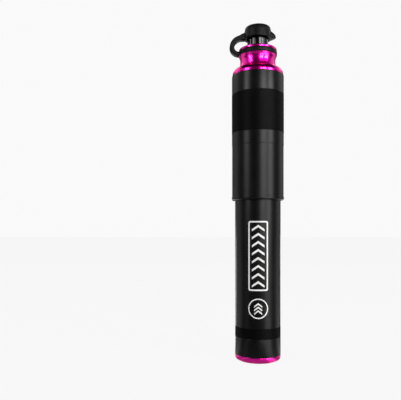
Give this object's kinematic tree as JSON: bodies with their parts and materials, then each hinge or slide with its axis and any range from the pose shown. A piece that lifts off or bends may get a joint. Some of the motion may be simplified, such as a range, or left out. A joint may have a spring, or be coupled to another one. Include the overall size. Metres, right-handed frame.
{
  "type": "bicycle mini pump",
  "caption": "Hand-held bicycle mini pump with a sliding grip sleeve, pull-out air hose, fluted valve chuck and tethered rubber dust cap.",
  "frame": {"origin": "centre of the end plug's flat underside, which the pump stands on", "axes": "+Z along the pump from the end plug to the dust cap, -X towards the cap's strap"},
  "size_m": [0.0305, 0.0292, 0.187],
  "materials": {
    "black_anodised": "satin black anodised, with fine-knurled bands and a pale printed mark",
    "magenta_anodised": "glossy magenta anodised",
    "chuck_anodised": "glossy black anodised, fluted",
    "cap_rubber": "satin moulded",
    "hose_rubber": "matt extruded, finely ribbed",
    "seal_rubber": "matt",
    "black_plastic": "moulded",
    "polished_steel": "polished",
    "brass": "turned",
    "white_print": "matt printed ink"
  },
  "bodies": {
    "barrel": {"barrel_tube": "black_anodised", "end_plug": "magenta_anodised", "plug_o_ring": "seal_rubber", "rod_guide": "black_plastic"},
    "handle": {"head_collar": "magenta_anodised", "grip_sleeve": "black_anodised", "sleeve_guide_ring": "black_plastic", "rod_seal": "seal_rubber", "hose_seal": "seal_rubber", "bumper_ring": "cap_rubber", "piston_rod": "polished_steel", "piston_body": "black_plastic", "valve_retainer": "brass", "check_spring": "polished_steel"},
    "piston_seal": {"piston_ring": "seal_rubber"},
    "valve_ball": {"check_ball": "polished_steel"},
    "hose": {"air_hose": "hose_rubber", "hose_ferrule": "brass", "hose_fitting": "brass"},
    "chuck": {"chuck_nut": "chuck_anodised", "valve_seal": "seal_rubber", "thread_insert": "brass"},
    "tether": {"tether_ring": "cap_rubber", "cap_strap": "cap_rubber"},
    "cap": {"dust_cap": "cap_rubber"}
  },
  "joints": [
    {"name": "pump_stroke", "type": "slide", "parent": "barrel", "child": "handle", "axis": [0, 0, 1], "range_m": [0, 0.11]},
    {"name": "hose_pull", "type": "slide", "parent": "handle", "child": "hose", "axis": [0, 0, 1], "range_m": [0, 0.04]},
    {"name": "chuck_turn", "type": "hinge", "parent": "hose", "child": "chuck", "pos_m": [0, 0, 0.1625], "axis": [0, 0, 1], "continuous": true},
    {"name": "tether_turn", "type": "hinge", "parent": "handle", "child": "tether", "pos_m": [0, 0, 0.1717], "axis": [0, 0, 1], "continuous": true},
    {"name": "cap_flip", "type": "hinge", "parent": "tether", "child": "cap", "pos_m": [-0.015, 0, 0.18], "axis": [0, -1, 0], "range_deg": [0, 180], "deforming": ["cap_strap"]},
    {"name": "seal_float", "type": "slide", "parent": "handle", "child": "piston_seal", "axis": [0, 0, 1], "range_m": [0, 0.0011]},
    {"name": "valve_lift", "type": "slide", "parent": "handle", "child": "valve_ball", "axis": [0, 0, 1], "range_m": [0, 0.0008], "stiffness_N_per_m": 100, "deforming": ["check_spring"]}
  ],
  "couplings": [
    {"joint": "cap_flip", "follows": "hose_pull", "rad_per_m": 78.53}
  ]
}
